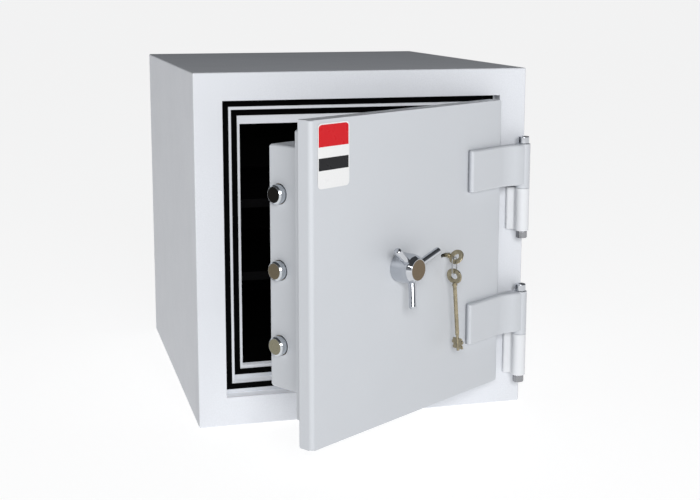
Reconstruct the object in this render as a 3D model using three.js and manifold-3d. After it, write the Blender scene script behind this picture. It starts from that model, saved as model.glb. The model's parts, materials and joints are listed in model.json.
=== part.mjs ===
// Free-standing key-locking safe with its door ajar: casing, stepped door frame, hinges, door,
// bolt work, lever lock and keys. Millimetres, +Z up, origin at the centre of the underside,
// front towards -Y.
import * as THREE from 'three';
import { mergeVertices } from 'three/addons/utils/BufferGeometryUtils.js';
import Module from 'manifold-3d';

const wasm = await Module();
wasm.setup();

// ---------------------------------------------------------------- driving dimensions
const WIDTH = 510;
const DEPTH = 580;
const HEIGHT = 528;
const GAP = 0.3; // clearance left between separate pieces
const DOOR_ANGLE = 33.3; // degrees the door stands open

// Depths below are measured back from the front plane of the body.
const FRONT = -DEPTH / 2;
const SKIN = 4; // casing and frame steel
const LINER = 2;

// the three steps of the door frame: half width, bottom, top and where each one ends
const STEP_1 = { half: 213, low: 44, high: 487, end: 22 };
const STEP_2 = { half: 197, low: 60, high: 472, end: 42 };
const THROAT = { half: 181, low: 80, high: 449, end: 54 };
const POCKET = { half: 204, low: 80, high: 449, end: 136 };
const REAR_WALL = 64;

// door slab, step plate and bolt work housing, as they stand with the door closed
const SLAB = { half: 210, low: 47, high: 482, front: -4, back: 20 };
const STEP_PLATE = { half: 194, low: 76, high: 466, front: 20.3, back: 39.8 };
const HOUSING = { half: 150, low: 94, high: 437, front: 40.1, back: 129.4 };
const SHEET = 2.5;

// hinges
const AXIS = { x: 245.5, depth: -19 };
const BARREL_R = 10.5;
const PIN_R = 6;
const PIN_HEAD_R = 8.5;
const PIN_HEAD = 11;
const JOINT_HEIGHTS = { upper: 346, lower: 116 }; // where arm barrel and body barrel meet
const ARM_BARREL = 68;
const BODY_BARREL = 66;
const ARM_LEFT = 124;
const ARM_THICK = 9;

// bolt work
const BOLT_R = 13.6;
const BOLT_DEPTH = 113;
const BOLT_TIP = -160.8;
const BOLT_HEIGHTS = [156, 263, 369.5];
const THROW = 36;
const HANDLE = { x: -32, z: 266 };
const SPINDLE_R = 6;
const TEETH = 18;
const RACK_PITCH = (4 * THROW) / TEETH; // a quarter turn moves the rack by THROW
const PITCH_R = (RACK_PITCH * TEETH) / (2 * Math.PI);
const TOOTH = { above: 2, below: 3, top: 1.8, foot: 4.4 };
const GEAR = { front: 74, back: 86 };
const ARM_LOW = 205;

// lock and keys
const KEY = { x: 72.5, z: 266 };
const KEY_TURN = 55; // degrees the bow stands above the keyhole slot
const LOCK = { half: 32, low: 222, high: 312, front: 66, back: 92 };
const BOW_R = 11.5;
const BOW_HOLE_R = 4.5;
const BOW_THICK = 2.4;
const KEY_LENGTH = 125;
const BOW_OFFSET = 20; // bow centre in front of the door face
const SHANK_R = 2.9;
const BIT = { length: 16, half: 10, thick: 2.6 };
const RING = { wire: 0.8, bend: 5.3, x: -4.6, top: -5, low: -19 };

// ---------------------------------------------------------------- materials
const finish = (color, roughness, metalness) =>
  new THREE.MeshStandardMaterial({ color, roughness, metalness });
const FINISH = {
  body: finish(0xe4e8ec, 0.55, 0.1),
  door: finish(0xccd0d6, 0.5, 0.1),
  black: finish(0x0c0c0d, 0.6, 0.1),
  seal: finish(0x070707, 0.9, 0),
  fill: finish(0x9b9a94, 0.95, 0),
  chrome: finish(0xd8dadd, 0.12, 1),
  nickel: finish(0xc2c4c6, 0.25, 1),
  steel: finish(0x8f9296, 0.4, 1),
  brass: finish(0xb59a62, 0.3, 1),
  label: finish(0xd22b36, 0.35, 0),
  plastic: finish(0x1c1c1e, 0.5, 0),
};

// ---------------------------------------------------------------- solids
function solid(geometry) {
  geometry.deleteAttribute('normal');
  geometry.deleteAttribute('uv');
  const merged = mergeVertices(geometry, 1e-4);
  return new wasm.Manifold(
    new wasm.Mesh({
      numProp: 3,
      vertProperties: new Float32Array(merged.attributes.position.array),
      triVerts: new Uint32Array(merged.index.array),
    }),
  );
}

function geometryOf(manifold) {
  const mesh = manifold.getMesh();
  const geometry = new THREE.BufferGeometry();
  geometry.setAttribute('position', new THREE.BufferAttribute(mesh.vertProperties, 3));
  geometry.setIndex(new THREE.BufferAttribute(mesh.triVerts, 1));
  return geometry;
}

const union = (...parts) => parts.reduce((all, part) => all.add(part));
const cut = (base, ...tools) => tools.reduce((left, tool) => left.subtract(tool), base);

// a block between two corners; every depth is measured back from the body's front plane
function block(x0, x1, d0, d1, z0, z1) {
  const geometry = new THREE.BoxGeometry(x1 - x0, d1 - d0, z1 - z0);
  geometry.translate((x0 + x1) / 2, FRONT + (d0 + d1) / 2, (z0 + z1) / 2);
  return solid(geometry);
}

// a block centred on x = 0
const centred = (half, d0, d1, z0, z1) => block(-half, half, d0, d1, z0, z1);

const point = (r, y) => new THREE.Vector2(r, y);

// a turned piece: [radius, distance] pairs from axis to axis, along +X, +Y or +Z
function turned(profile, axis, at, segments = 24) {
  const geometry = new THREE.LatheGeometry(profile.map(([r, y]) => point(r, y)), segments);
  if (axis === 'x') geometry.rotateZ(-Math.PI / 2);
  if (axis === 'z') geometry.rotateX(Math.PI / 2);
  geometry.translate(at[0], FRONT + at[1], at[2]);
  return solid(geometry);
}

const rodProfile = (r, from, to, chamfer = 0) =>
  chamfer
    ? [[0, from], [r - chamfer, from], [r, from + chamfer], [r, to - chamfer], [r - chamfer, to], [0, to]]
    : [[0, from], [r, from], [r, to], [0, to]];
const rodX = (r, x0, x1, depth, z, chamfer = 0, segments = 24) =>
  turned(rodProfile(r, x0, x1, chamfer), 'x', [0, depth, z], segments);
const rodY = (r, d0, d1, x, z, chamfer = 0, segments = 24) =>
  turned(rodProfile(r, d0, d1, chamfer), 'y', [x, 0, z], segments);
const rodZ = (r, z0, z1, x, depth, chamfer = 0, segments = 24) =>
  turned(rodProfile(r, z0, z1, chamfer), 'z', [x, depth, 0], segments);

function roundedOutline(x0, x1, z0, z1, radius) {
  const shape = new THREE.Shape();
  shape.moveTo(x0 + radius, z0);
  shape.lineTo(x1 - radius, z0);
  shape.absarc(x1 - radius, z0 + radius, radius, -Math.PI / 2, 0);
  shape.lineTo(x1, z1 - radius);
  shape.absarc(x1 - radius, z1 - radius, radius, 0, Math.PI / 2);
  shape.lineTo(x0 + radius, z1);
  shape.absarc(x0 + radius, z1 - radius, radius, Math.PI / 2, Math.PI);
  shape.lineTo(x0, z0 + radius);
  shape.absarc(x0 + radius, z0 + radius, radius, Math.PI, (3 * Math.PI) / 2);
  return shape;
}

// an outline drawn in X and Z, extruded between two depths; bevels stay inside those limits
function plate(shape, d0, d1, bevel = 0, curveSegments = 5) {
  const geometry = new THREE.ExtrudeGeometry(shape, {
    depth: d1 - d0 - 2 * bevel,
    bevelEnabled: bevel > 0,
    bevelThickness: bevel,
    bevelSize: bevel,
    bevelOffset: -bevel,
    bevelSegments: 2,
    curveSegments,
  });
  geometry.rotateX(Math.PI / 2);
  geometry.translate(0, FRONT + d1 - bevel, 0);
  return solid(geometry);
}

// an outline drawn in X and depth, extruded upwards
function upright(shape, z0, z1, curveSegments = 12) {
  const settings = { depth: z1 - z0, bevelEnabled: false, curveSegments };
  const geometry = new THREE.ExtrudeGeometry(shape, settings);
  geometry.translate(0, FRONT, z0);
  return solid(geometry);
}

// ---------------------------------------------------------------- scene graph
const safe = new THREE.Group();

// the door's pieces are drawn closed and swung open about the hinge axis
const doorSwing = new THREE.Group();
doorSwing.position.set(AXIS.x, FRONT + AXIS.depth, 0);
doorSwing.rotation.z = THREE.MathUtils.degToRad(DOOR_ANGLE);
const door = new THREE.Group();
door.position.set(-AXIS.x, -(FRONT + AXIS.depth), 0);
doorSwing.add(door);
safe.add(doorSwing);

function put(group, name, manifold, material) {
  const mesh = new THREE.Mesh(geometryOf(manifold), material);
  mesh.name = name;
  group.add(mesh);
}

// ---------------------------------------------------------------- body
// the stepped space of the doorway, grown outwards by a margin
function doorway(margin) {
  const space = (step, front) =>
    centred(step.half + margin, front, step.end + margin, step.low - margin, step.high + margin);
  const steps = [STEP_1, STEP_2, THROAT].map((step) => space(step, -1));
  return union(...steps, space(POCKET, THROAT.end - margin));
}

// the straight part of the frame and the liner, from one depth to another, grown by a margin
const throatBlock = (margin, d0, d1) =>
  centred(THROAT.half + margin, d0, d1, THROAT.low - margin, THROAT.high + margin);

// the flange that closes the bolt pockets at the front, grown by a margin
const flangeBlock = (margin) =>
  centred(POCKET.half + margin, STEP_2.end, THROAT.end, THROAT.low - margin, THROAT.high + margin);

const CASING_INSIDE = WIDTH / 2 - SKIN;
const LINER_FRONT = POCKET.end + SKIN + GAP;
const LINER_BACK = DEPTH - REAR_WALL;
const ANCHOR = { x: 0, depth: 330, r: 8 };
const anchorHole = (r) => rodZ(r, -1, THROAT.low + 1, ANCHOR.x, ANCHOR.depth, 0, 16);

function outerCasing() {
  const shell = centred(WIDTH / 2, 0, DEPTH, 0, HEIGHT);
  const inside = centred(CASING_INSIDE, -1, DEPTH - SKIN, SKIN, HEIGHT - SKIN);
  return cut(shell, inside, anchorHole(ANCHOR.r));
}

function doorFrame() {
  const inside = CASING_INSIDE - GAP;
  const face = centred(inside, 0, SKIN, SKIN + GAP, HEIGHT - SKIN - GAP);
  const walls = doorway(SKIN).intersect(centred(WIDTH, 0, THROAT.end, 0, HEIGHT));
  return cut(union(face, flangeBlock(SKIN), walls), doorway(0));
}

// the four plates round the bolt pockets, and the strip that closes each pocket at its back
function pocketWalls() {
  const outer = centred(
    POCKET.half + SKIN, THROAT.end + GAP, POCKET.end + SKIN, POCKET.low - SKIN, POCKET.high + SKIN,
  );
  return cut(outer, centred(POCKET.half, 0, DEPTH, POCKET.low, POCKET.high));
}
const pocketBack = (x0, x1) =>
  block(x0, x1, POCKET.end, POCKET.end + SKIN, POCKET.low + GAP, POCKET.high - GAP);

function innerLiner() {
  const outer = throatBlock(LINER, LINER_FRONT, LINER_BACK + LINER);
  return cut(outer, throatBlock(0, LINER_FRONT - 1, LINER_BACK), anchorHole(ANCHOR.r));
}

function bodyFill() {
  const inside = CASING_INSIDE - GAP;
  const whole = centred(inside, SKIN + GAP, DEPTH - SKIN - GAP, SKIN + GAP, HEIGHT - SKIN - GAP);
  const margin = LINER + GAP;
  const liner = throatBlock(margin, LINER_FRONT - 1, LINER_BACK + margin);
  return cut(whole, doorway(SKIN + GAP), flangeBlock(SKIN + GAP), liner, anchorHole(ANCHOR.r));
}

// a strip of seal running round one shoulder of the frame
const SEAL = { width: 8.8, inset: 3, thick: 1.3 };
function sealRing(step) {
  const half = step.half - SEAL.inset;
  const low = step.low + 2 * SEAL.inset;
  const high = step.high - SEAL.inset / 2;
  const back = step.end - GAP;
  const front = back - SEAL.thick;
  const outer = centred(half, front, back, low, high);
  const middle = centred(half - SEAL.width, front - 1, back + 1, low + SEAL.width, high - SEAL.width);
  return cut(outer, middle);
}

put(safe, 'outer_casing', outerCasing(), FINISH.body);
put(safe, 'body_fill', bodyFill(), FINISH.fill);
put(safe, 'door_frame', doorFrame(), FINISH.body);
put(safe, 'bolt_pocket_walls', pocketWalls(), FINISH.body);
put(safe, 'bolt_pocket_back_left', pocketBack(-POCKET.half + GAP, -THROAT.half), FINISH.body);
put(safe, 'bolt_pocket_back_right', pocketBack(THROAT.half, POCKET.half - GAP), FINISH.body);
put(safe, 'inner_liner', innerLiner(), FINISH.black);
put(safe, 'outer_seal', sealRing(STEP_1), FINISH.seal);
put(safe, 'inner_seal', sealRing(STEP_2), FINISH.seal);

// plastic plug that closes the floor anchor hole from inside
const PLUG = [[0, -18], [ANCHOR.r - GAP, -18], [ANCHOR.r - GAP, GAP], [13, GAP], [12, 3], [0, 4]];
put(safe, 'anchor_hole_plug', turned(PLUG, 'z', [ANCHOR.x, ANCHOR.depth, THROAT.low], 20), FINISH.plastic);

// two shelves with a folded front lip, each resting on a pair of side rails
const SHELVES = { upper: 318, lower: 200 };
const SHELF = { front: 150, back: 510, thick: 2, lip: 14 };
const RAIL = { width: 14, height: 12, thick: 2, short: 10 };
for (const [level, top] of Object.entries(SHELVES)) {
  const half = THROAT.half - 1;
  const deck = centred(half, SHELF.front, SHELF.back, top - SHELF.thick, top);
  const lip = centred(half - RAIL.width - 2, SHELF.front, SHELF.front + SHELF.thick, top - SHELF.lip, top);
  put(safe, `${level}_shelf`, union(deck, lip), FINISH.black);
  for (const [hand, side] of [['left', -1], ['right', 1]]) {
    const wall = side * (THROAT.half - GAP);
    const inner = wall - side * RAIL.width;
    const rise = wall - side * RAIL.thick;
    const ledgeTop = top - SHELF.thick - GAP;
    const strip = (edge, height) => {
      const [x0, x1] = [Math.min(wall, edge), Math.max(wall, edge)];
      return block(x0, x1, SHELF.front + RAIL.short, SHELF.back - RAIL.short, ledgeTop - height, ledgeTop);
    };
    const rail = union(strip(inner, RAIL.thick), strip(rise, RAIL.height));
    put(safe, `${level}_shelf_rail_${hand}`, rail, FINISH.black);
  }
}

// ---------------------------------------------------------------- hinges
const ARM_BACK = SLAB.front - GAP;
const ARM_FRONT = ARM_BACK - ARM_THICK;
const BRACKET_LEFT = AXIS.x - 20;

// the ramp that joins an arm's plate to the front of its barrel
function neckOutline() {
  const shape = new THREE.Shape();
  shape.moveTo(AXIS.x - 16, ARM_BACK - 1);
  shape.lineTo(AXIS.x - 36, ARM_FRONT + 1);
  shape.lineTo(AXIS.x - 34, ARM_FRONT);
  shape.lineTo(AXIS.x - 2, AXIS.depth - BARREL_R + GAP);
  shape.lineTo(AXIS.x, AXIS.depth);
  shape.lineTo(AXIS.x - BARREL_R + 2, ARM_BACK - 7);
  return shape;
}

for (const [level, joint] of Object.entries(JOINT_HEIGHTS)) {
  const bore = rodZ(PIN_R + GAP, 0, HEIGHT, AXIS.x, AXIS.depth);
  // body half: a web standing on the frame's face, with the barrel in front of it
  const bracketTop = joint - GAP / 2;
  const bracketLow = bracketTop - BODY_BARREL;
  const bracketWeb = block(BRACKET_LEFT, AXIS.x + 7, AXIS.depth, -GAP, bracketLow, bracketTop);
  const bracketBarrel = rodZ(BARREL_R, bracketLow, bracketTop, AXIS.x, AXIS.depth, 0, 28);
  put(safe, `${level}_hinge_bracket`, cut(union(bracketWeb, bracketBarrel), bore), FINISH.body);

  // door half: a plate on the slab with rounded edges, running into its barrel
  const armLow = joint + GAP / 2;
  const armTop = armLow + ARM_BARREL;
  const padLow = armLow + 5;
  const padTop = armTop - 0.5;
  const padOutline = roundedOutline(ARM_LEFT, AXIS.x - BARREL_R + 2, padLow, padTop, 4);
  const pad = plate(padOutline, ARM_FRONT, ARM_BACK, 3);
  const neck = upright(neckOutline(), padLow, padTop);
  const armBarrel = rodZ(BARREL_R, armLow, armTop, AXIS.x, AXIS.depth, 0, 28);
  put(door, `${level}_hinge_arm`, cut(union(pad, neck, armBarrel), bore), FINISH.door);

  // pin with a socket head on top, screwed into a round nut below
  const headLow = armTop + GAP;
  const headTop = headLow + PIN_HEAD;
  const nutTop = bracketLow - GAP;
  const nutLow = nutTop - PIN_HEAD;
  const pinShaft = rodZ(PIN_R, nutTop + GAP, headLow + 1, AXIS.x, AXIS.depth);
  const pinHead = rodZ(PIN_HEAD_R, headLow, headTop, AXIS.x, AXIS.depth, 0.8);
  const socket = rodZ(3, headTop - 5, headTop + 1, AXIS.x, AXIS.depth, 0, 6);
  put(safe, `${level}_hinge_pin`, cut(union(pinShaft, pinHead), socket), FINISH.chrome);
  const nut = rodZ(PIN_HEAD_R, nutLow, nutTop, AXIS.x, AXIS.depth, 0.8);
  put(safe, `${level}_hinge_pin_nut`, nut, FINISH.chrome);
}

// ---------------------------------------------------------------- door leaf
const FACE = 5; // steel of the slab's front and edges
const RIM = 3; // steel of the slab's back rim
const KEY_TUBE_R = 12.5;
const SPINDLE_BORE = SPINDLE_R + 2.3;
const KEY_SLOT = { half: 10.5, rise: 2.6 };
const spindleHole = (r, d0, d1) => rodY(r, d0, d1, HANDLE.x, HANDLE.z);
const keyHole = (r, d0, d1) => rodY(r, d0, d1, KEY.x, KEY.z);

// the holes that the spindle and the key's guide tube need through the inner layers of the door
const leafHoles = (d0, d1) => [spindleHole(SPINDLE_BORE, d0, d1), keyHole(KEY_TUBE_R + GAP, d0, d1)];

// the hollow inside the slab, shrunk by a margin
function slabHollow(margin) {
  const edge = FACE + margin;
  return centred(
    SLAB.half - edge, SLAB.front + edge, SLAB.back - RIM - margin, SLAB.low + edge, SLAB.high - edge,
  );
}

function doorSlab() {
  const front = SLAB.front - 1;
  const faceBack = SLAB.front + FACE + 1;
  const outline = roundedOutline(-SLAB.half, SLAB.half, SLAB.low, SLAB.high, 3);
  const outer = plate(outline, SLAB.front, SLAB.back, 2.5);
  const rearOpening = centred(175, SLAB.back - RIM - 1, SLAB.back + 1, 95, 450);
  const slot = block(
    KEY.x - KEY_SLOT.half, KEY.x + KEY_SLOT.half, front, faceBack,
    KEY.z - KEY_SLOT.rise, KEY.z + KEY_SLOT.rise,
  );
  const slotCentre = keyHole(SHANK_R + 0.5, front, faceBack);
  const spindle = spindleHole(SPINDLE_BORE, front, SLAB.back);
  return cut(outer, slabHollow(0), rearOpening, slot, slotCentre, spindle);
}

const doorFill = () => cut(slabHollow(GAP), ...leafHoles(SLAB.front, SLAB.back));

function stepPlate() {
  const { half, low, high, front, back } = STEP_PLATE;
  const base = plate(roundedOutline(-half, half, low, high, 3), front, back, 1);
  return cut(base, ...leafHoles(front - 1, back + 1));
}

// fixed bolts on the hinge side, riveted into the housing wall
const DOG = { r: 11, spigot: 7, depth: 96, reach: 38 };
const COVER = { front: HOUSING.back + GAP, thick: 2 };
const SCREW_INSET = 8;
const COVER_SCREWS = [HOUSING.low + SCREW_INSET, HOUSING.high - SCREW_INSET].flatMap((z) =>
  [-1, 1].map((side) => [side * (HOUSING.half - SCREW_INSET), z]),
);
const screwHoles = (d0, d1) => COVER_SCREWS.map(([x, z]) => rodY(2.3, d0, d1, x, z, 0, 10));

function boltworkHousing() {
  const { half, low, high, front, back } = HOUSING;
  const walls = cut(
    plate(roundedOutline(-half, half, low, high, 3), front, back),
    centred(half - SHEET, front - 1, back + 1, low + SHEET, high - SHEET),
  );
  const lipDepth = 12;
  const lips = cut(
    centred(half - SHEET / 2, back - SHEET, back, low + SHEET / 2, high - SHEET / 2),
    centred(half - lipDepth, back - SHEET - 1, back + 1, low + lipDepth, high - lipDepth),
  );
  const holes = BOLT_HEIGHTS.map((z) => rodX(BOLT_R + 0.8, -half - 5, -half + 5, BOLT_DEPTH, z));
  const dogHoles = BOLT_HEIGHTS.map((z) => rodX(DOG.spigot + GAP, half - 5, half + 5, DOG.depth, z, 0, 16));
  return cut(union(walls, lips), ...holes, ...dogHoles, ...screwHoles(back - 5, back + 5));
}

put(door, 'door_slab', doorSlab(), FINISH.door);
put(door, 'door_fill', doorFill(), FINISH.fill);
put(door, 'step_plate', stepPlate(), FINISH.door);
put(door, 'boltwork_housing', boltworkHousing(), FINISH.door);

const coverPlate = plate(
  roundedOutline(-HOUSING.half + 1, HOUSING.half - 1, HOUSING.low + 1, HOUSING.high - 1, 3),
  COVER.front,
  COVER.front + COVER.thick,
);
const coverHoles = screwHoles(COVER.front - 5, COVER.front + 5);
put(door, 'boltwork_cover', cut(coverPlate, ...coverHoles), FINISH.door);

COVER_SCREWS.forEach(([x, z], index) => {
  const headFront = COVER.front + COVER.thick + GAP;
  const shank = rodY(1.9, headFront - 12, headFront + 1, x, z, 0, 10);
  const headProfile = [[0, headFront], [4.2, headFront], [3.4, headFront + 1.6], [0, headFront + 2.2]];
  const head = turned(headProfile, 'y', [x, 0, z], 16);
  put(door, `cover_screw_${index + 1}`, union(shank, head), FINISH.steel);
});

// plain rectangular sticker on the slab
const LABEL = { x: -167.5, z: 435, width: 60, height: 84, thick: 0.5 };
const labelOutline = roundedOutline(
  LABEL.x - LABEL.width / 2, LABEL.x + LABEL.width / 2,
  LABEL.z - LABEL.height / 2, LABEL.z + LABEL.height / 2, 6,
);
const labelBack = SLAB.front - 0.1;
put(door, 'rating_label', plate(labelOutline, labelBack - LABEL.thick, labelBack), FINISH.label);

// ---------------------------------------------------------------- bolt work
const BAR = { left: -92, right: -80, front: 72, back: 126, low: 140, high: 385 };
const boltLabel = ['lower', 'middle', 'upper'];

BOLT_HEIGHTS.forEach((z, index) => {
  const end = BAR.left - GAP;
  const profile = [
    [0, BOLT_TIP], [BOLT_R - 2.4, BOLT_TIP], [BOLT_R, BOLT_TIP + 2.4],
    [BOLT_R, end - 1], [BOLT_R - 1, end], [0, end],
  ];
  const name = `${boltLabel[index]}_locking_bolt`;
  put(door, name, turned(profile, 'x', [0, BOLT_DEPTH, z], 28), FINISH.nickel);

  const bushLeft = -HOUSING.half + SHEET + GAP;
  const bush = cut(
    rodX(BOLT_R + 3.5, bushLeft, bushLeft + 14, BOLT_DEPTH, z),
    rodX(BOLT_R + GAP, bushLeft - 1, bushLeft + 15, BOLT_DEPTH, z, 0, 28),
    centred(HOUSING.half, HOUSING.back - SHEET - GAP, HOUSING.back + 9, 0, HEIGHT),
  );
  put(door, `${boltLabel[index]}_bolt_bush`, bush, FINISH.brass);

  const dogRight = HOUSING.half + DOG.reach;
  const dogHead = rodX(DOG.r, HOUSING.half + GAP, dogRight, DOG.depth, z, 1.5);
  const dogSpigot = rodX(DOG.spigot, HOUSING.half - 9, HOUSING.half + 2, DOG.depth, z, 0, 16);
  put(door, `${boltLabel[index]}_dog_bolt`, union(dogHead, dogSpigot), FINISH.nickel);
});

// carriage: upright bar that carries the bolts, with a rack arm and two notches for the lock bolt
const NOTCH = { half: 11.5, floor: 207 };
const ARM_END = KEY.x + THROW + 22;
const ARM_TOP = 219;
function boltCarriage() {
  const rootZ = HANDLE.z - PITCH_R - TOOTH.below;
  const bar = block(BAR.left, BAR.right, BAR.front, BAR.back, BAR.low, BAR.high);
  const shape = new THREE.Shape();
  shape.moveTo(BAR.right - 1, ARM_LOW);
  shape.lineTo(ARM_END, ARM_LOW);
  shape.lineTo(ARM_END, ARM_TOP);
  for (const middle of [KEY.x + THROW, KEY.x]) {
    shape.lineTo(middle + NOTCH.half, ARM_TOP);
    shape.lineTo(middle + NOTCH.half, NOTCH.floor);
    shape.lineTo(middle - NOTCH.half, NOTCH.floor);
    shape.lineTo(middle - NOTCH.half, ARM_TOP);
  }
  shape.lineTo(30, ARM_TOP);
  shape.lineTo(22, rootZ);
  for (let tooth = 6; tooth >= -2; tooth -= 1) {
    const x = HANDLE.x + tooth * RACK_PITCH;
    const tip = rootZ + TOOTH.above + TOOTH.below;
    shape.lineTo(x + TOOTH.foot / 2, rootZ);
    shape.lineTo(x + TOOTH.top / 2, tip);
    shape.lineTo(x - TOOTH.top / 2, tip);
    shape.lineTo(x - TOOTH.foot / 2, rootZ);
  }
  shape.lineTo(BAR.right - 1, rootZ);
  return union(bar, plate(shape, GEAR.front, GEAR.back));
}
put(door, 'bolt_carriage', boltCarriage(), FINISH.steel);

// rails that the carriage slides on
const RAILS = { left: -131, right: -60 };
const upperRail = block(RAILS.left, RAILS.right, STEP_PLATE.back + GAP, 120, BAR.high + GAP, BAR.high + 12);
const lowerRail = block(RAILS.left, RAILS.right, STEP_PLATE.back + GAP, 120, BAR.low - 12, BAR.low - GAP);
put(door, 'upper_carriage_rail', upperRail, FINISH.steel);
put(door, 'lower_carriage_rail', lowerRail, FINISH.steel);

// pinion with a tooth space pointing straight down at rest
function pinion() {
  const shape = new THREE.Shape();
  const step = (2 * Math.PI) / TEETH;
  const place = (radius, angle, across) => [
    HANDLE.x + radius * Math.cos(angle) - across * Math.sin(angle),
    HANDLE.z + radius * Math.sin(angle) + across * Math.cos(angle),
  ];
  for (let tooth = 0; tooth < TEETH; tooth += 1) {
    const angle = -Math.PI / 2 + (tooth + 0.5) * step;
    const root = PITCH_R - TOOTH.below;
    const tip = PITCH_R + TOOTH.above;
    const corners = [
      place(root, angle, -TOOTH.foot / 2),
      place(tip, angle, -TOOTH.top / 2),
      place(tip, angle, TOOTH.top / 2),
      place(root, angle, TOOTH.foot / 2),
    ];
    corners.forEach(([x, z], index) => {
      if (tooth === 0 && index === 0) shape.moveTo(x, z);
      else shape.lineTo(x, z);
    });
  }
  const disc = plate(shape, GEAR.front, GEAR.back);
  return cut(disc, spindleHole(SPINDLE_R + GAP, GEAR.front - 1, GEAR.back + 1));
}
put(door, 'spindle_pinion', pinion(), FINISH.steel);

// ---------------------------------------------------------------- handle
const HUB = { base: 21, shoulder: 19.4, front: 15.5, length: 34 };
const HUB_BACK = SLAB.front - GAP;
const HUB_FRONT = SLAB.front - HUB.length;
const SPOKE = { r: 5.2, root: 12, reach: 57, lean: 18, turn: 8, depth: HUB_BACK - 14 };
const SPOKE_TURNS = [180, -60, 60].map((turn) => turn - SPOKE.turn);
const SPINDLE_FRONT = HUB_BACK - 14;
const spindle = rodY(SPINDLE_R, SPINDLE_FRONT, GEAR.back + 8, HANDLE.x, HANDLE.z, 0.8);
put(door, 'handle_spindle', spindle, FINISH.steel);

// a spoke standing straight up from the handle's axis, leaning forwards, then turned to its place
function spoke(turn, extra) {
  const root = SPOKE.root - extra;
  const r = SPOKE.r + extra;
  const tip = SPOKE.reach - r;
  const profile = [point(0, root), point(r, root)];
  for (let n = 0; n <= 5; n += 1) {
    const a = (n / 5) * (Math.PI / 2);
    profile.push(point(n === 5 ? 0 : r * Math.cos(a), tip + r * Math.sin(a)));
  }
  const geometry = new THREE.LatheGeometry(profile, 20);
  geometry.rotateX(Math.PI / 2 + THREE.MathUtils.degToRad(SPOKE.lean));
  geometry.rotateY(THREE.MathUtils.degToRad(-turn));
  geometry.translate(HANDLE.x, FRONT + SPOKE.depth, HANDLE.z);
  return solid(geometry);
}

function handleHub() {
  const profile = [
    [0, HUB_FRONT], [HUB.front - 0.8, HUB_FRONT], [HUB.front, HUB_FRONT + 0.8],
    [HUB.shoulder, HUB_FRONT + 6], [HUB.base, HUB_FRONT + 13],
    [HUB.base, HUB_BACK - 0.8], [HUB.base - 0.8, HUB_BACK], [0, HUB_BACK],
  ];
  const body = turned(profile, 'y', [HANDLE.x, 0, HANDLE.z], 40);
  const sockets = SPOKE_TURNS.map((turn) => spoke(turn, GAP));
  return cut(body, spindleHole(SPINDLE_R + GAP, SPINDLE_FRONT - GAP, HUB_BACK + 1), ...sockets);
}
put(door, 'handle_hub', handleHub(), FINISH.chrome);
SPOKE_TURNS.forEach((turn, index) => {
  put(door, `handle_spoke_${index + 1}`, spoke(turn, 0), FINISH.chrome);
});

// ---------------------------------------------------------------- lock
const BOLT_HEAD = { half: 10, front: 76, back: 84 };
const LOCK_THROW = 12;
const LEVER_POST = { x: KEY.x + 22, z: KEY.z + 30, r: 3 };
const CASE_WALL = 2.5;
const CASE_BACK = LOCK.back - CASE_WALL;

const keyTube = cut(
  keyHole(KEY_TUBE_R, 1 + GAP, LOCK.front - GAP), keyHole(KEY_TUBE_R - 1.5, 0, LOCK.front + 1),
);
put(door, 'key_guide_tube', keyTube, FINISH.steel);

// open box with the block that carries it on the step plate and the post its levers swing on
function lockCase() {
  const left = KEY.x - LOCK.half;
  const right = KEY.x + LOCK.half;
  const outer = block(left, right, LOCK.front, CASE_BACK, LOCK.low, LOCK.high);
  const inner = block(
    left + CASE_WALL, right - CASE_WALL, LOCK.front + CASE_WALL, CASE_BACK + 1,
    LOCK.low + CASE_WALL, LOCK.high - CASE_WALL,
  );
  const window = block(
    KEY.x - BOLT_HEAD.half - GAP, KEY.x + BOLT_HEAD.half + GAP,
    BOLT_HEAD.front - GAP, BOLT_HEAD.back + GAP, LOCK.low - 1, LOCK.low + CASE_WALL + 1,
  );
  const keyWay = keyHole(SHANK_R + 9, LOCK.front - 1, LOCK.front + CASE_WALL + 1);
  const post = rodY(LEVER_POST.r, LOCK.front + 1, CASE_BACK - 1, LEVER_POST.x, LEVER_POST.z, 0, 16);
  const mount = cut(
    block(left, right, STEP_PLATE.back + GAP, LOCK.front + 1, LOCK.low + 4, LOCK.high),
    keyHole(KEY_TUBE_R + GAP, STEP_PLATE.back, LOCK.front + 2),
  );
  return union(cut(outer, inner, window, keyWay), post, mount);
}
put(door, 'lock_case', lockCase(), FINISH.steel);

const lockCover = cut(
  block(KEY.x - LOCK.half, KEY.x + LOCK.half, CASE_BACK + GAP, LOCK.back, LOCK.low, LOCK.high),
  keyHole(SHANK_R + 0.4, CASE_BACK, LOCK.back + 1),
);
put(door, 'lock_cover', lockCover, FINISH.steel);

// lock bolt: a head that drops into the carriage's notch and a flat tail round the key
function lockBolt() {
  const headTop = KEY.z - 24;
  const head = block(
    KEY.x - BOLT_HEAD.half, KEY.x + BOLT_HEAD.half, BOLT_HEAD.front, BOLT_HEAD.back, LOCK.low + GAP, headTop,
  );
  const tail = block(KEY.x - 16, KEY.x + 16, 80, BOLT_HEAD.back, headTop - 1, KEY.z + 20);
  const slot = new THREE.Shape();
  slot.absarc(KEY.x, KEY.z + LOCK_THROW, BIT.half + 1.2, 0, Math.PI);
  slot.absarc(KEY.x, KEY.z, BIT.half + 1.2, Math.PI, 2 * Math.PI);
  return cut(union(head, tail), plate(slot, 70, 90, 0, 10));
}
put(door, 'lock_bolt', lockBolt(), FINISH.brass);

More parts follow.
